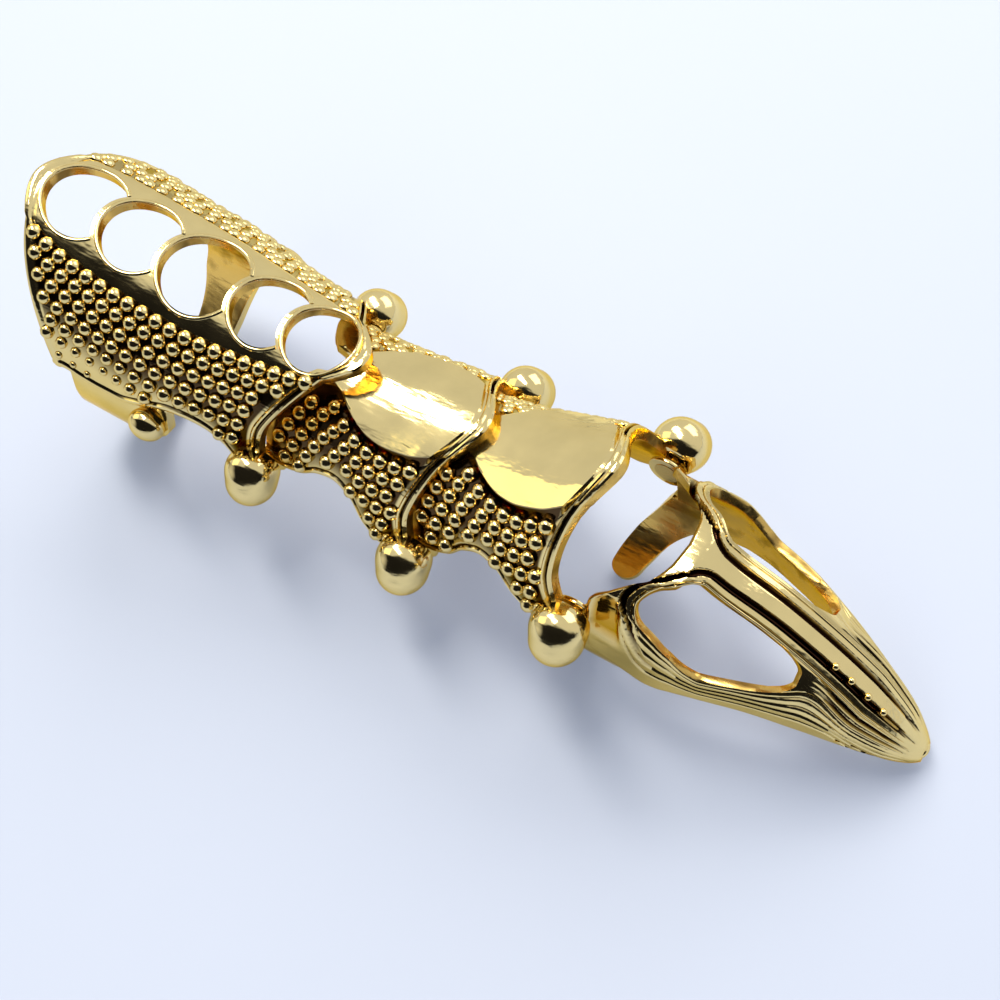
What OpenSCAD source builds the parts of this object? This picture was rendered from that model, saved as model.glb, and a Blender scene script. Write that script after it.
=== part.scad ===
/* [Plates] */
// Distance between two hinge axes along one plate
hinge_pitch = 15.95; // [15.5:0.05:16.5]
// Centre of the round ear boss from the middle plane
boss_y = 10; // [9.8:0.1:10.5]
// Radius of the round ear boss
boss_r = 2.25; // [2:0.05:2.5]
// Thickness of the cast walls
wall = 0.85; // [0.75:0.05:1]
// Height of one raised stud
stud_h = 0.42; // [0.2:0.02:0.5]

/* [Base plate] */
// Inner radius of the finger band
ring_r = 9; // [8.8:0.1:9.2]
// Width of the finger band under the finger
band_w = 4.3; // [4:0.1:5.5]
// Radius of the large holes along the crest
hole_r = 3.3; // [3:0.1:3.4]
// Reach of the base plate behind its hinge
base_reach = 26; // [25.5:0.05:27]
// Reach of the base tongue in front of its hinge
base_tongue = 8.15; // [7.8:0.05:8.5]

/* [Claw] */
// Reach of the claw tip in front of its hinge
claw_reach = 27.5; // [27.2:0.1:28]
// Half width of the claw at its hinge
claw_half = 7.7; // [7.6:0.05:7.75]

/* [Pins] */
// Radius of a hinge pin
pin_r = 0.6; // [0.5:0.05:0.7]
// Running gap round a hinge pin
pin_gap = 0.06; // [0.04:0.01:0.08]

/* [Pose] */
// Height of the first hinge above the floor
first_z = 10.6; // [10.3:0.05:10.8]
// Slope of the first knuckle plate as it lies, nose down
first_slope = 5.3; // [4.5:0.1:6]
// Slope of the second knuckle plate as it lies, nose up
second_slope = 11.9; // [11:0.1:12.5]

/* [Hidden] */
$fn = 48;

gold = [0.86, 0.68, 0.30];
pin_gold = [0.80, 0.62, 0.28];

// The hinge axes in the middle plane, as [x, z]
axis_1 = [-16.5, first_z];
axis_2 = axis_1 + hinge_pitch * [cos(first_slope), -sin(first_slope)];
axis_3 = axis_2 + hinge_pitch * [cos(second_slope), sin(second_slope)];

// The outer ear of a plate lies over the inner ear of the next one
outer_ear_y = 7.9;
inner_ear_y = [6.95, 7.7];
inner_ear_r = 2;
ear_gap = 0.25;
pin_end_y = 9.4;
pin_head_r = pin_r + 0.5;
pin_head_y = [6.9, 7.2];

// Half width of a plate where the next one turns inside it
outer_half = 8.8;
// Half width of the flats the bands lie on
foot_half = 3.2;

// Columns of a plate's wall on one side of the crest line: a crest, a step and a studded side
crest_cols = 2;
step_col = 3;
step_w = 0.6;
crest_fall = 0.4;

function lerp(a, b, t) = a + (b - a) * t;
function clamp01(t) = min(1, max(0, t));
function ease(t) = let (k = clamp01(t)) k * k * (3 - 2 * k);
function unit(v) = v / norm(v);

// The front rim of a plate flares forward over the outer ears
function ear_flare(f) = 0.95 * ease((f - 0.8) / 0.2);

// Even steps with a narrower first and last one, for the smooth borders
function border_step(k, n, both) =
  k == 0 ? 0 : k == n ? 1 : both ? (k - 0.4) / (n - 0.8) : k / (n - 0.4);

// A cast wall between an outer and an inner sheet of points, both given as rows.
// keep(r, c) says which cells are metal, and raised(r, c) which of them carry a stud.
module cast_wall(outer, inner, keep, raised) {
  rows = len(outer);
  cols = len(outer[0]);
  count = rows * cols;
  cells = [for (r = [0:rows - 2], c = [0:cols - 2]) if (keep(r, c)) [r, c]];
  studs = [for (k = cells) if (raised(k[0], k[1])) k];
  stud_index = function (r, c) search([[r, c]], studs)[0];
  corner = function (r, c) [r * cols + c, r * cols + c + 1, (r + 1) * cols + c + 1, (r + 1) * cols + c];
  metal = function (r, c) r >= 0 && c >= 0 && r < rows - 1 && c < cols - 1 && keep(r, c);
  peak = function (r, c)
    let (p = outer[r][c], q = outer[r][c + 1], s = outer[r + 1][c + 1], t = outer[r + 1][c])
    (p + q + s + t) / 4 + stud_h * unit(cross(s - p, q - t));
  points = concat([for (row = outer) each row], [for (row = inner) each row],
                  [for (k = studs) peak(k[0], k[1])]);
  faces = [for (k = cells)
    let (r = k[0], c = k[1], o = corner(r, c), i = [for (v = o) v + count],
         s = raised(r, c) ? stud_index(r, c) + 2 * count : 0,
         next = [[r - 1, c], [r, c + 1], [r + 1, c], [r, c - 1]])
    each concat(
      s > 0 ? [for (e = [0:3]) [o[e], o[(e + 1) % 4], s]] : [[o[0], o[1], o[2]], [o[0], o[2], o[3]]],
      [[i[0], i[2], i[1]], [i[0], i[3], i[2]]],
      [for (e = [0:3]) if (!metal(next[e][0], next[e][1]))
        let (u = e, v = (e + 1) % 4)
        each [[o[v], o[u], i[u]], [o[v], i[u], i[v]]]])];
  polyhedron(points, faces, convexity = 8);
}

// A saddle-shaped plate: half width, crest height, section centre and lower edge change along x,
// and the rear and front rims change with f, the share of the half width.
// roundness is 1 for elliptic sections and less for fuller shoulders.
// The first bare_rows carry no studs, because the plate behind covers them.
module saddle_plate(half, top, centre, low, crest, rear, front, roundness, rows, side_cols, bare_rows) {
  last = step_col + side_cols;
  share = function (j) j <= crest_cols ? 0.42 * j / crest_cols
    : sin(lerp(32, 86, border_step(j - step_col, side_cols, false)));
  spot = function (r, c, inset)
    let (j = abs(c), side = sign(c), u = border_step(r, rows, true),
         x = lerp(rear(share(j)), front(share(j)), u),
         a = half(x), z0 = centre(x), b = top(x) - z0,
         start = asin(pow((crest(x) + step_w) / a, 1 / roundness)),
         end = acos(max(-0.6, (low(x) - z0) / b)),
         angle = lerp(start, end, border_step(j - step_col, side_cols, false)))
    j <= crest_cols
      ? [x, side * crest(x) * j / crest_cols, top(x) - crest_fall * pow(j / crest_cols, 2) - inset]
      : [x, side * (a - inset) * pow(sin(angle), roundness), z0 + (b - inset) * cos(angle)];
  sheet = function (inset) [for (r = [0:rows]) [for (c = [-last:last]) spot(r, c, inset)]];
  cast_wall(sheet(0), sheet(wall), function (r, c) true,
    function (r, c)
      let (j = max(abs(c - last), abs(c + 1 - last)), k = min(abs(c - last), abs(c + 1 - last)))
      k >= step_col && j < last && r > bare_rows && r < rows - 1);
}

// Both sides at once
module both_sides() {
  children();
  mirror([0, 1, 0]) children();
}

// A round bar across the part from y0 to y1 at [x, z]
module cross_bar(spot, radius, y0, y1) {
  translate([spot[0], y0, spot[1]]) rotate([-90, 0, 0]) cylinder(r = radius, h = y1 - y0);
}

// The outer ears: a ball on each side, cut flat where the next plate turns inside it
module ball_ears(spot) {
  both_sides() difference() {
    translate([spot[0], boss_y, spot[1]]) sphere(r = boss_r);
    translate([spot[0] - 4, outer_ear_y - 4, spot[1] - 4]) cube([8, 4, 8]);
  }
}

// The inner ears: a flat round tab on each side
module tab_ears(spot) {
  both_sides() cross_bar(spot, inner_ear_r, inner_ear_y[0], inner_ear_y[1]);
}

// Bore in the outer ears that holds the pins, and a flat recess for the inner ears of the next plate
module outer_ear_bores(spot) {
  both_sides() {
    cross_bar(spot, pin_r, 5, pin_end_y);
    cross_bar(spot, inner_ear_r + ear_gap, 5, inner_ear_y[1] + 0.1);
  }
}

// Bore in the inner ears that turns on the pins, and a recess that takes the pin heads
module inner_ear_bores(spot) {
  both_sides() {
    cross_bar(spot, pin_r + pin_gap, 5, outer_ear_y + 0.5);
    cross_bar(spot, pin_head_r + ear_gap, 5, pin_head_y[1] + 0.1);
  }
}

// Base plate: crest with five large holes, studded sides, finger band below

base_top = function (x) first_z + 10.7 + 5.7 * pow(max(0, (base_tongue - x) / (base_reach + base_tongue)), 1.8);
base_half = function (x) lerp(outer_half, 10.4, ease(-x / 14)) + 0.5 * ease((-x - 14) / 10);
base_centre = function (x) lerp(first_z - 2, 10, ease(-x / 14));
base_low_points = [[-26, 10], [-11, 10], [-9.5, 11], [-7.5, 13.3], [-5, 13.2], [-3.2, 11.8], [-2, 9.5], [-1, 8.6], [0, 8.6]];
base_low = function (x) lookup(x, base_low_points);
base_crest = function (x) lerp(3.4, 4.1, ease((4 - x) / 8)) - 0.5 * ease((-x - 20) / 6);
base_rear = function (f) -base_reach + 4.9 * pow(f, 1.5);
base_front = function (f) lerp(-0.9, base_tongue, pow(1 - f * f, 1.3)) + ear_flare(f);
base_roundness = 0.84;
// Each hole, as [centre, radius]; the round rim of the next hole covers its front edge
holes = [[-21.05, hole_r + 0.2], [-15.3, hole_r + 0.15], [-8.65, hole_r + 0.55], [-1.85, hole_r + 0.05],
         [3.45, hole_r - 0.15]];
rim_w = 0.6;

module finger_band() {
  outer_r = ring_r + 0.95;
  inner_r = ring_r + 0.05;
  rear = axis_1[0] - 21.9;
  profile = [[0, 13], [0, -1], [band_w, -1], [band_w + 0.5, 3], [band_w + 2, 6.5], [band_w + 4.5, 9.6],
             [band_w + 6.6, 11.5], [band_w + 6.6, 13]];
  gap = 1.6;
  intersection() {
    difference() {
      union() {
        translate([rear, 0, outer_r]) rotate([0, 90, 0]) cylinder(r = outer_r, h = 12, $fn = 96);
        translate([rear, -foot_half, 0]) cube([band_w, 2 * foot_half, 2]);
      }
      translate([rear - 1, 0, outer_r]) rotate([0, 90, 0]) cylinder(r = inner_r, h = 14, $fn = 96);
    }
    translate([rear, 12, 0]) rotate([90, 0, 0]) linear_extrude(24) polygon(profile);
    both_sides() linear_extrude(11.5) {
      translate([rear, gap + band_w / 2]) square([12, 12]);
      translate([rear + band_w / 2, gap + band_w / 2]) circle(band_w / 2);
    }
  }
}

module base_plate() {
  color(gold) difference() {
    union() {
      translate([axis_1[0], 0, 0])
        saddle_plate(base_half, base_top, base_centre, base_low, base_crest, base_rear, base_front, base_roundness,
                     26, 9, 0);
      ball_ears(axis_1);
      finger_band();
    }
    for (k = [0:len(holes) - 1]) difference() {
      translate([axis_1[0] + holes[k][0], 0, 15]) cylinder(r = holes[k][1], h = 20);
      if (k < len(holes) - 1)
        translate([axis_1[0] + holes[k + 1][0], 0, 14]) cylinder(r = holes[k + 1][1] + rim_w, h = 22);
    }
    outer_ear_bores(axis_1);
  }
}

// Knuckle plate: smooth crest panel, studded sides, tongue over the next plate

crest_r = 8.75;
panel_reach = 18.9;
panel_rise = 2.55;
plate_top = function (x) crest_r + panel_rise * pow(max(0, x) / panel_reach, 2.1);
plate_half = function (x) lerp(claw_half, outer_half, ease((x - 3) / (hinge_pitch - 3)));
plate_centre = function (x) -2;
plate_low_points = [[-4, 1.2], [1.5, 0.3], [3.5, 0.8], [5.5, 2.2], [7.5, 2.8], [9.3, 2.2], [10.8, 0.2], [12.6, -1.8],
                    [16, -2.1]];
plate_low = function (x) lookup(x, plate_low_points);
plate_crest = function (x) lerp(1.9, 3.5, ease(x / hinge_pitch));
// Hollowed out over the finger, as far as the plate behind covers
plate_rear = function (f) lerp(5.2, 0, ease(f * 1.1));
plate_front = function (f) hinge_pitch - 0.95 + 3.8 * pow(1 - f * f, 2.3) + ear_flare(f);

module knuckle_plate(spot, slope) {
  color(gold) translate([spot[0], 0, spot[1]]) rotate([0, -slope, 0]) difference() {
    union() {
      saddle_plate(plate_half, plate_top, plate_centre, plate_low, plate_crest, plate_rear, plate_front,
                   1, 14, 7, 1);
      tab_ears([0, 0]);
      ball_ears([hinge_pitch, 0]);
    }
    inner_ear_bores([0, 0]);
    outer_ear_bores([hinge_pitch, 0]);
  }
}

module knuckle_plate_1() { knuckle_plate(axis_1, -first_slope); }
module knuckle_plate_2() { knuckle_plate(axis_2, second_slope); }

// Claw tip: swept hoop, ridge, grooved rails round two side openings, rounded point

// Sections along the claw from its hinge, as [x, half width, crest height, lower edge]
claw_sections = [[-0.1, 7.75, 4.2, -3.6], [2, 7.75, 4.4, -4.7], [4.5, 7.75, 4.7, -5.8], [6.1, 7.75, 4.9, -6.3],
                 [7.3, 7.7, 5, -6.1], [8.2, 7.55, 4.6, -5.9], [10.3, 7.1, 3.3, -5.7], [13.5, 6.2, 1.9, -5.9],
                 [18, 4.9, -1, -7.1], [22, 3.6, -4.3, -8.8], [25, 2.5, -7.4, -10], [26.6, 1.5, -9.4, -10.9],
                 [claw_reach, 0.6, -10.6, -11.4]];
claw_half_points = [for (s = claw_sections) [s[0], s[1]]];
claw_top_points = [for (s = claw_sections) [s[0], s[2]]];
claw_low_points = [for (s = claw_sections) [s[0], s[3]]];
// Height of the upper edge of the lower rail
claw_rail_points = [[4, 2.4], [5.5, 2], [7, 1.2], [8.2, 0.1], [9.5, -1.4], [10.8, -2.2], [13.5, -2.1],
                    [17.5, -2.2], [22, -6], [25, -8.4], [claw_reach, -11]];
// Rear edge of the hoop and rear edge of the side openings, as [distance from the middle plane, x]
hoop_rear_points = [[0, 6.1], [2, 5.85], [3, 5.5], [4, 4.9], [5, 3.7], [6, 2.4], [7, 1.1], [7.75, 1]];
hoop_front_points = [[0, 8.6], [2.3, 7.8], [3.5, 6.9], [4.3, 5.8], [5.2, 5.1], [6, 4.8], [7, 5], [7.75, 5.6]];
window_end = 17.3;
ridge_half = 2.2;

// Columns from the crest line down: [share of the way, depth below the surface], in three bands
ridge_cols = [[0, 0], [0.4, 0], [0.5, 0.5], [0.76, 0.5], [0.86, 0], [1, 0]];
window_cols = [[0.28, 0], [0.56, 0], [0.8, 0], [1, 0]];
rail_cols = [[0.16, 0], [0.3, 0.3], [0.46, 0], [0.6, 0.3], [0.78, 0], [1, 0]];

module claw_tip() {
  window_top = len(ridge_cols) - 1;
  window_low = window_top + len(window_cols);
  cols = window_low + len(rail_cols);
  hoop_rows = 2;
  window_rows = 7;
  point_rows = 7;
  rows = hoop_rows + window_rows + point_rows;
  squareness = function (x) lerp(0.72, 1, ease((x - 2) / 14));
  half = function (x) lookup(x, claw_half_points);
  low = function (x) lookup(x, claw_low_points);
  centre = function (x) lerp(low(x), lookup(x, claw_top_points), 0.35);
  tall = function (x) lookup(x, claw_top_points) - centre(x);
  // Angle of column j round the section at x, 0 at the crest line and 90 at the widest place
  turn = function (x, j)
    let (n = squareness(x),
         top_angle = asin(pow(min(ridge_half, 0.62 * half(x)) / half(x), 1 / n)),
         rail_angle = acos(pow(clamp01((lookup(x, claw_rail_points) - centre(x)) / tall(x)), 1 / n)))
    j <= window_top ? top_angle * ridge_cols[j][0]
      : j <= window_low ? lerp(top_angle, rail_angle, window_cols[j - window_top - 1][0])
      : lerp(rail_angle, 115, rail_cols[j - window_low - 1][0]);
  groove = function (j) j <= window_top ? ridge_cols[j][1] : j <= window_low ? 0 : rail_cols[j - window_low - 1][1];
  side_y = function (x, angle) half(x) * pow(sin(min(90, angle)), squareness(x));
  spot = function (r, c, inset)
    let (j = abs(c), y0 = side_y(6, turn(6, j)),
         rear = lookup(y0, hoop_rear_points), front = lookup(y0, hoop_front_points),
         end = window_end - (j == window_top || j == window_low ? 0.6 : 0),
         x = r <= hoop_rows ? lerp(rear, front, r / hoop_rows)
           : r <= hoop_rows + window_rows ? lerp(front, end, (r - hoop_rows) / window_rows)
           : lerp(end, claw_reach, sqrt((r - hoop_rows - window_rows) / point_rows)),
         angle = turn(x, j), n = squareness(x), a = half(x),
         depth = min(inset + groove(j) * clamp01((claw_reach - x) / 8), 0.75 * a))
    [x, sign(c) * (a - depth) * pow(sin(min(90, angle)), n),
     angle <= 90 ? centre(x) + (tall(x) - depth) * pow(max(0, cos(angle)), n)
       : lerp(centre(x), low(x), (angle - 90) / 25)];
  sheet = function (inset) [for (r = [0:rows]) [for (c = [-cols:cols]) spot(r, c, inset)]];
  open_cell = function (r, c)
    let (j = min(abs(c - cols), abs(c + 1 - cols)))
    r >= hoop_rows && r < hoop_rows + window_rows && j >= window_top && j < window_low;
  color(gold) difference() {
    union() {
      translate([axis_3[0], 0, axis_3[1]]) {
        cast_wall(sheet(0), sheet(wall), function (r, c) !open_cell(r, c), function (r, c) false);
        tab_ears([0, 0]);
      }
      claw_band();
    }
    inner_ear_bores(axis_3);
  }
}

// Open band under the fingertip: two cheeks that slant back to a round bottom with a gap
module claw_band() {
  outer_r = claw_half;
  inner_r = claw_half - wall;
  top_z = axis_3[1] - 2.2;
  profile = [[-3.3, -1], [-3.3, 0.2], [-2.4, 3], [-1.2, 5.2], [-0.2, 7.5], [0.8, top_z], [5.6, top_z],
             [5.2, 7.4], [3.4, 5.6], [1.4, 3.4], [0, 1.4], [-0.7, 0.2], [-0.7, -1]];
  gap = 1.8;
  end_r = 1.3;
  intersection() {
    difference() {
      union() {
        translate([axis_3[0] - 4, 0, outer_r]) rotate([0, 90, 0]) cylinder(r = outer_r, h = 10, $fn = 96);
        translate([axis_3[0] - 4, -outer_r, outer_r]) cube([10, 2 * outer_r, top_z - outer_r]);
        translate([axis_3[0] - 4, -foot_half, 0]) cube([4, 2 * foot_half, 2]);
      }
      translate([axis_3[0] - 5, 0, outer_r]) rotate([0, 90, 0]) cylinder(r = inner_r, h = 12, $fn = 96);
      translate([axis_3[0] - 5, -inner_r, outer_r]) cube([12, 2 * inner_r, 10]);
    }
    translate([axis_3[0], 12, 0]) rotate([90, 0, 0]) linear_extrude(24) polygon(profile);
    both_sides() linear_extrude(20) {
      translate([axis_3[0] - 4, gap + end_r]) square([10, 12]);
      translate([axis_3[0] - 2, gap + end_r]) circle(end_r);
    }
  }
}

// Hinge pins: a plain post from the ball through the inner ear, with a flat head inside

module hinge_pin(spot, side) {
  color(pin_gold) mirror([0, side < 0 ? 1 : 0, 0]) union() {
    cross_bar(spot, pin_r, pin_head_y[0] + 0.2, pin_end_y);
    cross_bar(spot, pin_head_r, pin_head_y[0], pin_head_y[1]);
  }
}

base_plate();
knuckle_plate_1();
knuckle_plate_2();
claw_tip();
hinge_pin(axis_1, 1);  // hinge_pin_1_left
hinge_pin(axis_1, -1);  // hinge_pin_1_right
hinge_pin(axis_2, 1);  // hinge_pin_2_left
hinge_pin(axis_2, -1);  // hinge_pin_2_right
hinge_pin(axis_3, 1);  // hinge_pin_3_left
hinge_pin(axis_3, -1);  // hinge_pin_3_right
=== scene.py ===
# Full-finger knuckle armor ring in polished yellow gold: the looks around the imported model
import bpy
import math
from mathutils import Matrix, Vector


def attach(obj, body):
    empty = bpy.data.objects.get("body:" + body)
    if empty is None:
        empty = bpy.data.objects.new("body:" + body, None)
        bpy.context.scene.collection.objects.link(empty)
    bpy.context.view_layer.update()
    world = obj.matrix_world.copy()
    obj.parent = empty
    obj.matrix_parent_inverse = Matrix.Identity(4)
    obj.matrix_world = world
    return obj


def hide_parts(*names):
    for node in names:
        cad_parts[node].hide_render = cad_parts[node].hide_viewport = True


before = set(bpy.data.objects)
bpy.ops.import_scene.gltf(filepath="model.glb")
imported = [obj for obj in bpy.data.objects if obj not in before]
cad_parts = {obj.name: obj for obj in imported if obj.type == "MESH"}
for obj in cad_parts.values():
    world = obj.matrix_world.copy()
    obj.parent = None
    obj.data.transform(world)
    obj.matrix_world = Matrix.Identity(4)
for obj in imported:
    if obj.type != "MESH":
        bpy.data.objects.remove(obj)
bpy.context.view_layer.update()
print("frame loaded")

mm = 0.001  # the lists below are in millimetres


# small helpers

def ease(t):
    t = min(1, max(0, t))
    return t * t * (3 - 2 * t)


def climb(value, start, reach):
    # 0 up to start, 1 from start + reach on
    return ease((value - start) / reach)


def mix(a, b, t):
    return a + (b - a) * t


def smooth(x, points):
    # rounded curve through the points [x, value] that never overshoots them
    last = len(points) - 1
    if x <= points[0][0]:
        return points[0][1]
    if x >= points[last][0]:
        return points[last][1]
    k = max(i for i in range(last) if points[i][0] <= x)

    def grade(i):
        return (points[i + 1][1] - points[i][1]) / (points[i + 1][0] - points[i][0])

    def tangent(i):
        if i == 0:
            return grade(0)
        if i == last:
            return grade(last - 1)
        a, b = grade(i - 1), grade(i)
        return 0 if a * b <= 0 else 2 * a * b / (a + b)

    width = points[k + 1][0] - points[k][0]
    t = (x - points[k][0]) / width
    return ((2 * t ** 3 - 3 * t ** 2 + 1) * points[k][1]
            + (t ** 3 - 2 * t ** 2 + t) * width * tangent(k)
            + (3 * t ** 2 - 2 * t ** 3) * points[k + 1][1]
            + (t ** 3 - t ** 2) * width * tangent(k + 1))


def deselectAll():
    if bpy.context.object and bpy.context.object.mode != "OBJECT":
        bpy.ops.object.mode_set(mode="OBJECT")
    bpy.ops.object.select_all(action="DESELECT")


def pick(piece):
    deselectAll()
    piece.select_set(True)
    bpy.context.view_layer.objects.active = piece


def applyAll(piece):
    pick(piece)
    for modifier in list(piece.modifiers):
        bpy.ops.object.modifier_apply(modifier=modifier.name)


def joined(name, pieces):
    deselectAll()
    for piece in pieces:
        piece.select_set(True)
    bpy.context.view_layer.objects.active = pieces[0]
    if len(pieces) > 1:
        bpy.ops.object.join()
    whole = bpy.context.object
    whole.name = name
    whole.data.name = name
    return whole


def smoothed(piece, angle=40):
    pick(piece)
    if not piece.data.materials:
        piece.data.materials.append(polishedGold)
    bpy.ops.object.shade_smooth_by_angle(angle=math.radians(angle))
    return piece


def shell(name, rows, cols, thickness, flat, raised=None, isOpen=None, recess=None, thin=None,
          paintedWarmth=None):
    # a grid pulled onto a surface, given a wall inwards, and then its relief on the outer face only;
    # flat and raised give a grid point's place in millimetres, without the relief and with it
    deselectAll()
    bpy.ops.mesh.primitive_grid_add(x_subdivisions=rows, y_subdivisions=cols, size=2)
    piece = bpy.context.object
    piece.name = name
    places = [(round((point.co.x + 1) / 2 * rows), round((point.co.y + 1) / 2 * cols))
              for point in piece.data.vertices]
    for point, (row, col) in zip(piece.data.vertices, places):
        point.co = Vector(flat(row, col)) * mm
    if isOpen:
        # openings: these cells are taken out, and every point left keeps its row and column
        keep = piece.data.attributes.new("place", "INT", "POINT")
        for index in range(len(places)):
            keep.data[index].value = index
        bpy.ops.object.mode_set(mode="EDIT")
        bpy.ops.mesh.select_mode(type="FACE")
        bpy.ops.object.mode_set(mode="OBJECT")
        for face in piece.data.polygons:
            spots = [places[i] for i in face.vertices]
            face.select = isOpen(min(r for r, c in spots), min(c for r, c in spots))
        bpy.ops.object.mode_set(mode="EDIT")
        bpy.ops.mesh.delete(type="FACE")
        bpy.ops.object.mode_set(mode="OBJECT")
        keep = piece.data.attributes["place"]
        places = [places[keep.data[index].value] for index in range(len(piece.data.vertices))]
        piece.data.attributes.remove(keep)
    piece.data.materials.append(polishedGold)
    piece.data.materials.append(innerGoldPaintedWarm)
    wall = piece.modifiers.new("wall", "SOLIDIFY")
    wall.thickness = thickness * mm
    wall.offset = -1
    # the inner face, and on plates the rims, get the inner gold with its painted warm reflection
    wall.material_offset = 1
    wall.material_offset_rim = 1 if recess else 0  # the rims of plates look like their inside
    if thin:
        share = piece.vertex_groups.new(name="wall")
        for index, (row, col) in enumerate(places):
            share.add([index], thin(row, col), "REPLACE")
        wall.vertex_group = "wall"
    applyAll(piece)
    if raised:
        for point, (row, col) in zip(piece.data.vertices, places):
            point.co = Vector(raised(row, col)) * mm
    # values per point for the finishes, both painted light: the first is painted shade, up to 1 deep in a
    # groove and between studs; the second is a painted warm reflection, 1 where gold would mirror the
    # shaded gold beside it
    for title, share in (("recess", recess), ("paintedWarmth", paintedWarmth)):
        if share:
            amount = piece.data.attributes.new(title, "FLOAT", "POINT")
            for index, (row, col) in enumerate(places):
                amount.data[index].value = share(row, col)
    return piece


def soften(piece, width, limit=30, segments=3):
    edge = piece.modifiers.new("edge", "BEVEL")
    edge.width = width * mm
    edge.segments = segments
    edge.limit_method = "ANGLE"
    edge.angle_limit = math.radians(limit)
    applyAll(piece)


def cut(piece, cutter):
    tool = piece.modifiers.new("cut", "BOOLEAN")
    tool.operation = "DIFFERENCE"
    tool.solver = "EXACT"
    tool.object = cutter
    applyAll(piece)
    bpy.data.objects.remove(cutter)


def post(radius, depth, spot, turn=(0, 0, 0), sides=96):
    deselectAll()
    bpy.ops.mesh.primitive_cylinder_add(vertices=sides, radius=radius * mm, depth=depth * mm,
                                        location=Vector(spot) * mm, rotation=turn)
    bpy.ops.object.transform_apply(location=True, rotation=True, scale=True)
    return bpy.context.object


def block(size, spot):
    deselectAll()
    bpy.ops.mesh.primitive_cube_add(size=1, location=Vector(spot) * mm)
    piece = bpy.context.object
    piece.scale = Vector(size) * mm
    bpy.ops.object.transform_apply(location=True, rotation=True, scale=True)
    return piece


# gold finishes

# the dark colour serves painted shade and the random casting spots; the warm colour is a painted warm
# reflection
goldLook = {
    "spotsAndShade": (0.05, 0.02, 0.01), "paintedWarmth": (0.75, 0.43, 0.06), "shade": 0.25, "brush": (0.3, 1, 1),
    "cloudScale": 0.25, "cloudDetail": 3, "fineDetail": 2, "spots": (0.48, 0.66),
    "dulled": (0.35, 0.7), "bump": 0.00005,
}
surfaceValues = ("Grain", "Polish", "Dull", "Peel", "Mottle")
finishes = {  # colour, then the surface values in their order
    "polishedGold": ((1.0, 0.79, 0.35), 1100, 0.09, 0.17, 1.1, 0),
    # the inner gold is rougher with random dark spots, and its deeper orange is a painted warm reflection
    # of gold in gold
    "innerGoldPaintedWarm": ((1.0, 0.65, 0.17), 1300, 0.2, 0.36, 1.6, 0.6),
    "pinGold": ((0.85, 0.64, 0.27), 1200, 0.2, 0.3, 0.4, 0),
}


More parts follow.
